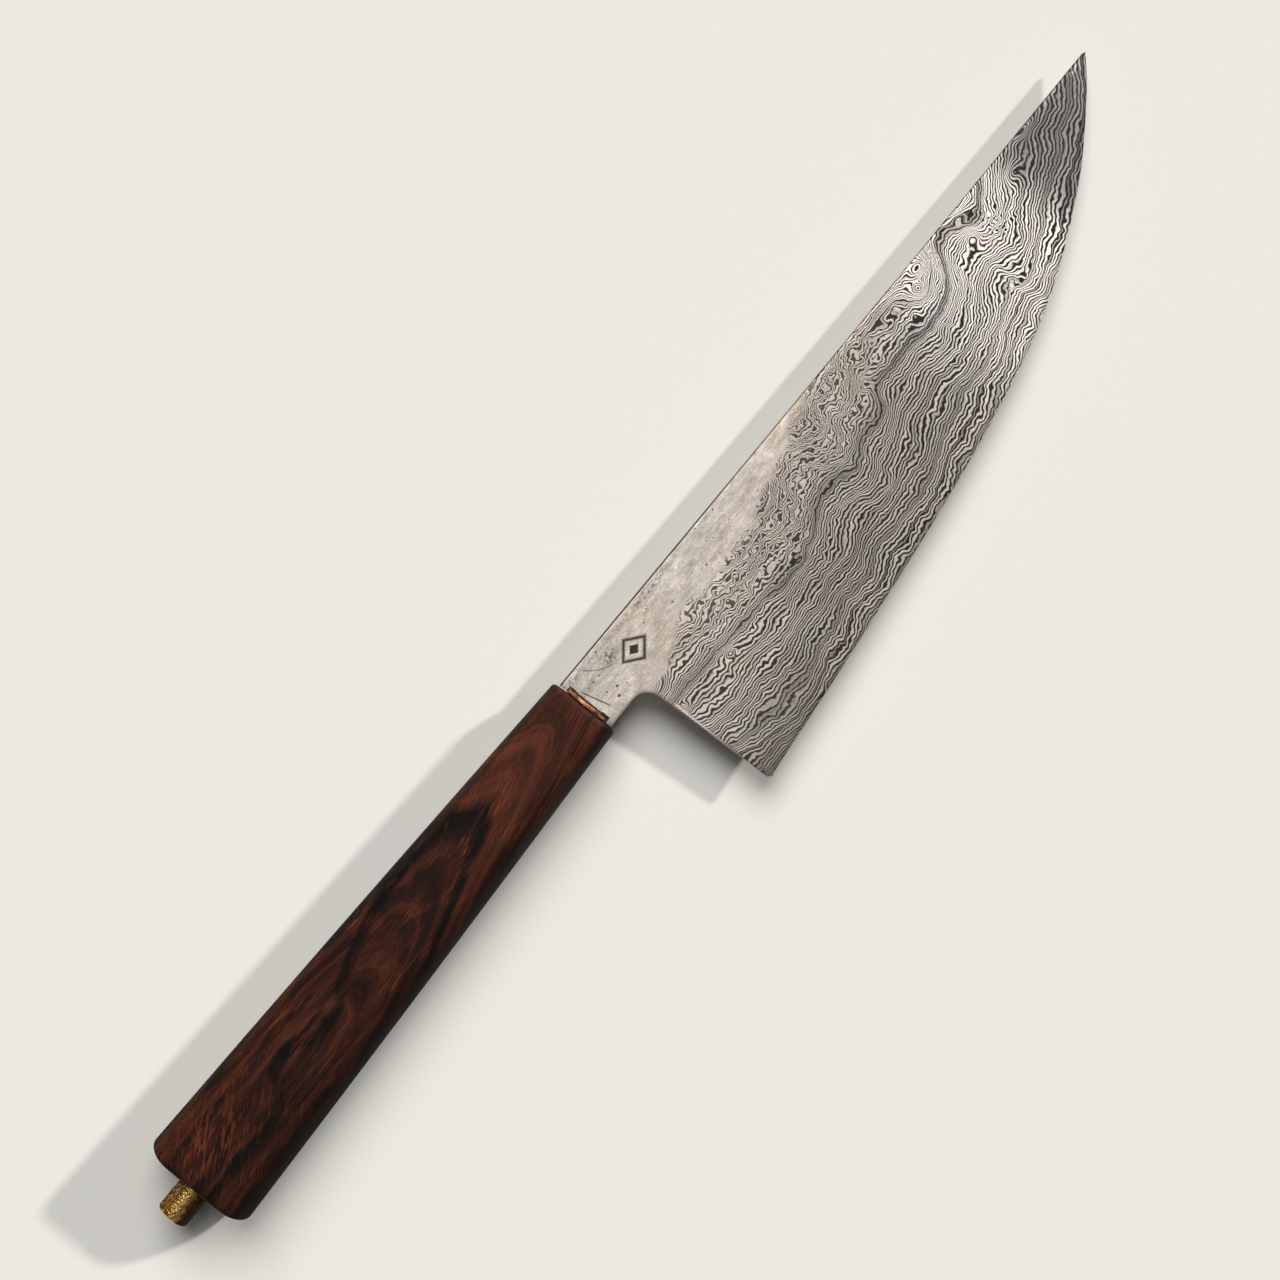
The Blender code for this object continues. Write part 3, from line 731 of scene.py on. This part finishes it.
def etched_lines(p, side, layers, wild):
    """Brightness of the etched lines, with finer lines between them, plain bands and dark seams."""
    bent = layers + (p.noise_line(layers * 0.30, 1.0) - 0.5) * 1.2
    line = p.sine(bent * math.tau)
    fine = p.sine(bent * (2.0 * math.tau) + 1.0)
    open_band = p.step(p.noise_line(layers * 0.126 + 21.0, 0.0), 0.595, 0.66) * (1.0 - wild * 0.8)
    strength = p.step(p.noise_line(layers * 0.45 + 7.0, 0.0), 0.34, 0.60, 0.55, 1.25)
    strength = strength * (1.0 - open_band * 0.60)
    speck = p.noise(p.x * 2.2, p.y * 3.0, side, 2.0, 0.6) - 0.5
    bright = p.step(line * strength + fine * 0.24 + speck * 0.8, -0.48, 0.60)
    seam = p.peak(layers, LAYERS, 0.6) * p.step(p.x, 98.0, 112.0) + p.peak(layers, 0.0, 0.55)
    seam = seam + p.peak(layers, LAYERS * 0.485, 0.5)
    seam = seam + p.peak(p.noise_line(layers * 0.11 + 40.0, 0.0), 0.5, 0.02) * (0.6 - wild * 0.54)
    return (bright * (1.0 - open_band * 0.05) - seam * 0.65).clamped()


def figured_steel(p, bright, wild, cloud):
    """Value of the patterned steel: darker by the edge, painted shade towards the tip, a painted bright,
    stark reflection before it.
    """
    x, y = p.x, p.y
    # painted reflection: brighter, starker etch before the tip
    painted_reflection = p.step(x, 112.0, 136.0) * p.step(x, 156.0, 168.0, 1.0, 0.0)
    # painted shade: the etch darkens towards the tip
    tip = p.step(x, 148.0, 176.0)
    by_edge = p.step(y - x * 0.16, -46.0, -33.0, 1.0, 0.0)
    by_heel = p.step(x, 30.0, 60.0, 1.0, 0.0)
    belly = p.step(x, 44.0, 58.0) * p.step(x, 100.0, 116.0, 1.0, 0.0)
    calm = wild * (1.0 - painted_reflection)
    darkest = 0.155 - painted_reflection * 0.04 + by_heel * 0.08 + calm * 0.13 + cloud * 0.10
    gain = 0.66 + painted_reflection * 0.30 - tip * 0.25 - belly * 0.05 - calm * 0.11 + cloud * 0.15
    gain = gain - by_heel * (by_edge * 0.23 + 0.03)
    return p.as_seen(darkest + bright * gain)


def bare_steel(p, brushed, cloud):
    """Value of the polished steel of the neck and the wedge."""
    smear = p.noise(p.x / 3.4, p.y / 1.6, p.z / 3.0 + 2.0, 5.0, 0.7) - 0.5
    grit = p.noise(p.x * 2.6, p.y * 2.6, p.z * 2.6, 3.0, 0.7) - 0.5
    return p.as_seen(0.79 + cloud * 0.30 + brushed * 0.27 + smear * 0.54 + grit * 0.42)


def blade_marks(p, side, patterned):
    """Dark marks: pits, scratches and grime on the neck, painted shade along the back's edge, and a plain
    lozenge mark.
    """
    x, y, z = p.x, p.y, p.z
    front = p.step(z, 0.0, 0.1)
    pit = p.step(p.noise(x * 1.3, y * 1.3, z * 1.3, 1.0), 0.70, 0.76)
    for centre_x, centre_y, size in PITS:
        pit = p.largest(pit, p.step(p.spot(centre_x, centre_y, size, size * 0.8), 0.35, 0.6) * 1.1)
    scuff = p.step(p.noise((x + y * 0.7) * 2.4, (y - x * 0.7) * 0.3, side, 2.0, 0.6), 0.60, 0.70)
    straight = p.peak(x - 3.4 + (y + 0.9) * 0.26, 0.0, 0.34) * p.step(abs(y + 0.9), 2.8, 4.4, 1.0, 0.0)
    reach = p.math("SQRT", (x - 16.0) ** 2.0 + (y - 11.5) ** 2.0)
    curved = p.peak(reach, 11.0, 0.24) * p.step(x, 5.5, 7.0) * p.step(x, 12.5, 14.0, 1.0, 0.0)
    scratches = (straight * 0.85 + curved * 0.65) * front + scuff * 0.16 * (1.0 - patterned)
    grime = p.spot(13.2, 2.8, 2.6, 2.0) + p.spot(3.0, 6.2, 3.6, 0.9) + p.spot(30.0, 5.8, 12.0, 0.8)
    grime = (grime * p.step(p.noise(x * 1.1, y * 1.5, z, 4.0, 0.75), 0.43, 0.57)).clamped()
    from_back = y - (NECK_HALF + x * x * SPINE_CURVE - x * SPINE_DROP)
    # painted shade: a dark line along the rounded back's edge
    painted_back_shade = p.step(from_back, -0.48, -0.26) * p.step(x, 40.0, 110.0, 0.92, 0.40)
    lozenge = abs(x - 18.2) * 0.80 + abs(y + 0.5)
    mark = p.largest(p.peak(lozenge, 3.2, 0.95), p.step(lozenge, 1.1, 1.5, 1.0, 0.0)) * front
    pit = pit * 0.75 * (1.0 - patterned * 0.7)
    return p.largest(pit, scratches, grime * 0.70, painted_back_shade, mark * 0.93)


def paint_blade(place):
    """Etched pattern-welded steel with a bare, polished neck."""
    p = Paint("damascus_steel", place)
    x, y, z = p.x, p.y, p.z
    side = p.step(z, -0.02, 0.02, 0.0, 7.0)
    cloud = p.noise(x / 11.0, y / 7.0, side + 9.0, 4.0, 0.6) - 0.5
    brushed = p.noise(x / 5.0, y / 0.5, z, 4.0, 0.65) - 0.5

    patterned = pattern_cover(p, side)
    layers, wild = forged_layers(p, side)
    bright = etched_lines(p, side, layers, wild)
    bright = bright + (0.80 - bright) * (1.0 - p.step(patterned, 0.15, 0.95))
    value = figured_steel(p, bright, wild, cloud) * patterned
    value = value + bare_steel(p, brushed, cloud) * (1.0 - patterned)
    # painted highlight: a bright thin line along the heel's rounded edge
    painted_heel_highlight = p.peak(x - 14.1, 0.15, 0.5) * p.step(y, -17.0, -15.0, 1.0, 0.0)
    value = p.largest(value, painted_heel_highlight * 0.85)
    spots = blade_marks(p, side, patterned)
    value = (value * (1.0 - spots)).clamped()

    warmth = p.noise(x / 16.0, y / 9.0, side + 2.0, 2.0) + p.step(x, 104.0, 132.0, 0.0, 0.36)
    rust = p.spot(142.0, -8.0, 9.0, 12.0) * p.step(p.noise(x / 4.0, y / 2.5, side, 3.0), 0.50, 0.66)
    color = p.mix(1.0, p.grey(value), p.ramp(warmth, STEEL_TINT), "MULTIPLY")
    color = p.mix(rust * 0.25, color, RUST)
    roughness = (0.46 - bright * 0.10 * patterned + cloud * 0.10 + spots * 0.3).clamped()
    relief = bright * patterned + brushed * 0.25 - spots * 1.2
    return p.finish(color, roughness, 0.60, relief, 0.02)


# a black streak that winds along the back of the handle: place along and height, in mm
BLACK_STREAK = [(-150, -4.3), (-135, -4.3), (-119, -4.0), (-114, -0.6), (-111, 2.8), (-106, 3.6),
                (-102, 2.4), (-99, 0.6), (-93, 0.0), (-86, 3.0), (-79, 5.6), (-66, 8.4), (-50, 9.8)]
# black arches across the handle: place on the axis, half their width, darkness
BLACK_ARCHES = [(-37.0, 6.5, 0.20), (-57.0, 6.0, 0.12), (-78.0, 6.0, 0.10)]
WOOD_TONES = [(0.30, (0.0032, 0.0014, 0.0010)), (0.41, (0.0115, 0.0034, 0.0020)),
              (0.53, (0.036, 0.0090, 0.0045)), (0.68, (0.082, 0.021, 0.0092))]
ORANGE_FIBRE = (0.24, 0.052, 0.015)
PORE = (0.003, 0.0016, 0.0012)


def paint_wood(place):
    """Oiled dark rosewood: nested arches, black streaks and orange fibres."""
    p = Paint("dark_rosewood", place)
    x, y, z = p.x, p.y, p.z
    bend = p.noise(x / 20.0, y / 7.0, z / 9.0, 2.0, 0.5) - 0.5
    jog = p.noise(x / 6.0, y / 3.0, z / 4.0, 2.0, 0.6) - 0.5
    at_back = p.step(x, -104.0, -80.0, 1.0, 0.0)
    from_heart = y - p.step(x, -85.0, -40.0, 0.0, 3.0)
    arches = x + from_heart * from_heart * 0.36 + z * z * 0.10 + bend * 10.0 + jog * 2.2 - 13.0
    stack = p.noise_line(arches * 0.085 + 3.1, 3.0, 0.55)
    streaks = p.noise(x / 34.0 + 5.0, y / 2.1 + bend * 2.0, z / 3.0, 3.0, 0.6)
    figure = stack * (1.0 - at_back * 0.8) + streaks * at_back * 0.8
    winding = p.peak(y + bend * 1.5 + jog * 1.2 - p.curve(x, BLACK_STREAK), 0.0, 2.0)
    black = winding * p.step(abs(z), 4.0, 7.0, 0.3, 1.0) * 0.30
    for centre, half_width, darkness in BLACK_ARCHES:
        black = black + p.peak(arches, centre, half_width) * darkness
    behind = p.largest(x * -1.0 - 106.0, 0.0)
    ahead = p.largest(x + 44.0, 0.0)
    diagonal = y + behind * 0.55 - ahead * 0.22
    fibre = p.noise(x / 6.0, diagonal / 0.34, z / 0.4, 3.0, 0.6)
    pore = p.step(p.noise(x / 2.4, diagonal / 0.16 + 9.0, z / 0.2, 2.0, 0.5), 0.62, 0.74)
    tone = figure + (fibre - 0.5) * 0.24 - black + p.step(x, -42.0, -16.0, 0.0, 0.075)
    flecks = p.spot(-132.0, 4.0, 11.0, 6.0) * p.step(p.noise(x / 3.6, diagonal / 0.8, z, 1.0), 0.50, 0.66)
    seams = p.peak(arches, -45.5, 1.7) * 0.8 + p.peak(arches, -66.0, 1.4) * 0.5
    seams = seams + p.peak(y, 7.2, 0.9) * at_back * 0.5
    sparks = p.spot(-25.0, 3.0, 4.2, 2.2) + p.spot(-33.5, -3.2, 3.6, 1.3) + p.spot(-31.0, 1.0, 3.0, 1.0)
    patchy = p.step(p.noise(x / 8.0, y / 3.5, z / 5.0 + 4.0, 2.0), 0.46, 0.62)
    fibres = (seams * patchy + sparks + patchy * 0.30) * p.step(fibre, 0.40, 0.66)
    glint = (flecks * 0.8 + fibres).clamped()
    color = p.mix(glint * 0.62, p.ramp(tone, WOOD_TONES), ORANGE_FIBRE)
    color = p.mix(pore * 0.5, color, PORE)

    # painted shade darkens the lower border and painted light brightens the upper border; also darker
    # towards the butt, and rougher towards the borders and the back; level is 0 on the axis and 1 on the
    # upper border
    level = y / (FRONT_HALF_WIDTH - x * ((BUTT_HALF_WIDTH - FRONT_HALF_WIDTH) / HANDLE_LENGTH))
    painted_light_and_shade = p.step(level, -0.95, -0.50, 0.20, 1.0) * p.step(level, 0.50, 0.80, 1.0, 1.50)
    painted_light_and_shade = painted_light_and_shade * p.step(x, -118.0, -96.0, 0.85, 1.0)
    color = p.mix(1.0, color, p.grey(painted_light_and_shade), "MULTIPLY")
    dry = p.step(abs(level), 0.45, 0.75, 0.0, 0.30) + p.step(x, -100.0, -30.0, 0.12, 0.0)
    roughness = (0.46 + dry + (fibre - 0.5) * 0.3 + pore * 0.15).clamped()
    relief = fibre * 0.6 - pore
    return p.finish(color, roughness, 0.0, relief, 0.03, specular=0.13)


NUT_BRASS = {"dark": (0.84, 0.38, 0.065), "bright": (1.0, 0.70, 0.26), "patina": 0.98}
WASHER_BRASS = {"dark": (0.5, 0.33, 0.12), "bright": (0.8, 0.6, 0.28), "patina": 0.4}
BROWN_PATINA = (0.085, 0.029, 0.005)
# near-black colour of the painted shade on the brass
PAINTED_SHADE_BLACK = (0.010, 0.004, 0.0015)
BRASS_PIT = (0.02, 0.009, 0.003)


def paint_brass(place, name, look):
    """Brass with a painted highlight band along its upper side, painted shade underneath and by the wood,
    patina blotches, pits and fine turned lines.
    """
    p = Paint(name, place)
    x, y, z = p.x, p.y, p.z
    blotch = p.noise(x / 1.7, y / 1.7, z / 1.7, 4.0, 0.65)
    grain = p.noise(x * 1.8, y * 1.8, z * 1.8, 3.0, 0.6)
    # painted shade: darker next to the handle's wood
    painted_shade_by_wood = p.step(x, NUT_FACE_X - 4.2, NUT_FACE_X - 0.5, 0.0, 0.30)
    # painted highlight: a bright band along the upper side
    painted_highlight = p.step(y, -2.8, 0.6) * p.step(y, 1.5, 3.4, 1.0, 0.10) * p.step(z, -1.0, 2.0)
    # painted shade: darker towards the underside
    under = p.step(y, -4.1, -0.4, 0.24, 0.0)
    # the patina's blotches, plus the painted shade underneath and by the wood, less the painted highlight
    stain = p.step(blotch + (grain - 0.5) * 0.8 + painted_shade_by_wood + under - painted_highlight * 0.34, 0.20, 0.50)
    stain = stain * look["patina"]
    turn = p.noise_line(x * 9.0, 2.0)
    metal = p.ramp(blotch - painted_highlight * 0.05, [(0.36, look["bright"]), (0.52, look["dark"])])
    # painted shade: the patina turns near black underneath and next to the wood
    painted_shade = (p.step(y, -3.6, -0.8, 1.0, 0.0) + painted_shade_by_wood * 2.4).clamped()
    color = p.mix(stain, metal, p.mix(painted_shade, BROWN_PATINA, PAINTED_SHADE_BLACK))
    pit = p.step(grain, 0.61, 0.68)
    color = p.mix(pit * 0.85, color, BRASS_PIT)
    roughness = (0.31 - painted_highlight * 0.08 + stain * 0.30 + (turn - 0.5) * 0.2).clamped()
    relief = (grain - pit * 0.8) * (0.8 + painted_highlight * 1.1) + (turn - 0.5) * 0.06
    return p.finish(color, roughness, 0.95 - stain * 0.92, relief, 0.085, specular=0.07)


COPPER_TONES = [(0.34, (0.30, 0.10, 0.045)), (0.52, (0.72, 0.31, 0.15)), (0.70, (0.88, 0.46, 0.25))]
COPPER_DIRT = (0.05, 0.025, 0.015)


def paint_copper(place):
    """Copper with dark blotches and dirt in its grain."""
    p = Paint("copper", place)
    x, y, z = p.x, p.y, p.z
    blotch = p.noise(x / 1.2, y / 1.6, z / 1.6, 4.0, 0.6)
    grain = p.noise(x * 5.0, y * 1.5, z * 1.5, 3.0)
    color = p.mix(p.step(grain, 0.60, 0.74) * 0.8, p.ramp(blotch, COPPER_TONES), COPPER_DIRT)
    return p.finish(color, (0.30 + blotch * 0.25).clamped(), 0.95, grain, 0.02)


def paint_fibre(place):
    """Black fibre board with grey flecks."""
    p = Paint("black_fibre", place)
    x, y, z = p.x, p.y, p.z
    fleck = p.noise(x * 3.0, y * 3.0, z * 3.0, 4.0, 0.6)
    color = p.ramp(fleck, [(0.35, (0.006, 0.006, 0.006)), (0.7, (0.03, 0.027, 0.024))])
    return p.finish(color, (0.62 + (fleck - 0.5) * 0.4).clamped(), 0.0, fleck, 0.02)


def paint_bright_steel(place, name, length_scale):
    """Drawn steel with lines along its length."""
    p = Paint(name, place)
    x, y, z = p.x, p.y, p.z
    line = p.noise(x / length_scale, y * 4.0, z * 4.0, 3.0)
    stain = p.step(p.noise(x / 3.0, y / 2.0, z / 2.0, 3.0), 0.52, 0.72)
    color = p.ramp(line, [(0.3, (0.30, 0.30, 0.31)), (0.7, (0.58, 0.57, 0.56))])
    color = p.mix(stain * 0.5, color, (0.16, 0.13, 0.11))
    return p.finish(color, (0.26 + stain * 0.25 + (line - 0.5) * 0.3).clamped(), 1.0, line, 0.015)


# ---------------------------------------------------------------- scene

def place_piece(mesh, name, place, body, node, material):
    """Moves a mesh to its place on the knife, where it rides on a body and stands for a node."""
    mesh.transform(place @ Matrix.Scale(MM, 4))
    mesh.name = name
    mesh.materials.clear()
    mesh.materials.append(material)
    piece = new_object(name, mesh)
    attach(piece, body)
    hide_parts(node)


def repaint(node, material):
    node.data.materials.clear()
    node.data.materials.append(material)


def add_light(name, place, setup):
    """Even light from a far round panel, its direction given in the knife's frame."""
    light = bpy.data.lights.new(name, "SUN")
    light.angle = math.radians(setup["spread"])
    light.energy = setup["strength"]
    light.color = setup["color"]
    rise = math.radians(setup["elevation"])
    level = Vector((*setup["direction"], 0.0)).normalized() * math.cos(rise)
    toward = place.to_3x3() @ (level + Vector((0.0, 0.0, math.sin(rise))))
    lamp = new_object(name, light)
    lamp.location = toward
    lamp.rotation_mode = "QUATERNION"
    lamp.rotation_quaternion = (-toward).to_track_quat("-Z", "Y")
    lamp.visible_camera = False


def add_studio(place):
    """Pale floor, pale backdrop, a low key light from one side, a wide fill and an overhead light."""
    floor_mesh = bpy.data.meshes.new("floor")
    floor_mesh.from_pydata([(-8, -8, 0), (8, -8, 0), (8, 8, 0), (-8, 8, 0)], [], [(0, 1, 2, 3)])
    paint = bpy.data.materials.new("pale_floor")
    paint.use_nodes = True
    shader = paint.node_tree.nodes["Principled BSDF"]
    shader.inputs["Base Color"].default_value = (0.86, 0.85, 0.80, 1.0)
    shader.inputs["Roughness"].default_value = 0.9
    shader.inputs["Specular IOR Level"].default_value = 0.2
    floor_mesh.materials.append(paint)
    new_object("floor", floor_mesh)

    # a dim even sky for the light, seen directly as a pale backdrop
    world = bpy.data.worlds.new("studio")
    world.use_nodes = True
    tree = world.node_tree
    sky = tree.nodes["Background"]
    sky.inputs["Strength"].default_value = SKY_STRENGTH
    backdrop = tree.nodes.new("ShaderNodeBackground")
    backdrop.inputs["Color"].default_value = (1.0, 0.99, 0.96, 1.0)
    backdrop.inputs["Strength"].default_value = BACKDROP_STRENGTH
    path = tree.nodes.new("ShaderNodeLightPath")
    mix = tree.nodes.new("ShaderNodeMixShader")
    tree.links.new(path.outputs["Is Camera Ray"], mix.inputs["Fac"])
    tree.links.new(sky.outputs[0], mix.inputs[1])
    tree.links.new(backdrop.outputs[0], mix.inputs[2])
    tree.links.new(mix.outputs[0], tree.nodes["World Output"].inputs["Surface"])
    bpy.context.scene.world = world
    add_light("key", place, KEY)
    add_light("fill", place, FILL)
    add_light("overhead", place, OVERHEAD)


def add_camera(place):
    """Camera straight above the blade, turned so that the knife lies across the view."""
    data = bpy.data.cameras.new("camera")
    data.lens = CAMERA_LENS
    data.sensor_width = 36.0
    data.clip_start = 0.01
    camera = new_object("camera", data)
    right = Vector((*CAMERA_RIGHT, 0.0)).normalized()
    back = Vector((0.0, 0.0, 1.0))
    turn = Matrix((right, back.cross(right), back)).transposed()
    spot = Matrix.Translation(Vector((*CAMERA_OVER, CAMERA_HEIGHT)) * MM) @ turn.to_4x4()
    camera.matrix_world = place @ spot
    bpy.context.scene.camera = camera


def main():
    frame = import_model()
    place = knife_matrix(frame["record"])
    bpy.context.scene.view_settings.view_transform = "Standard"

    spacer = build_disc("spacer", SPACER_X, SPACER_ROUND, True)
    liner = build_disc("liner", LINER_X, LINER_ROUND, False)
    place_piece(build_blade(), "blade_steel", place, "knife", "blade", paint_blade(place))
    place_piece(build_handle(), "handle_rosewood", place, "knife", "handle_wood",
                paint_wood(place))
    place_piece(spacer, "spacer_copper", place, "knife", "copper_spacer", paint_copper(place))
    place_piece(liner, "liner_fibre", place, "knife", "fibre_liner", paint_fibre(place))
    place_piece(build_nut(), "butt_nut", place, "nut", "finial_nut",
                paint_brass(place, "aged_brass", NUT_BRASS))
    repaint(frame["nodes"]["nut_washer"], paint_brass(place, "washer_brass", WASHER_BRASS))
    repaint(frame["nodes"]["tang_rod"], paint_bright_steel(place, "rod_steel", 6.0))
    pin_steel = paint_bright_steel(place, "pin_steel", 2.0)
    for name in ("locating_pin_upper", "locating_pin_lower"):
        repaint(frame["nodes"][name], pin_steel)

    add_studio(place)
    add_camera(place)
    bpy.context.view_layer.update()


main()
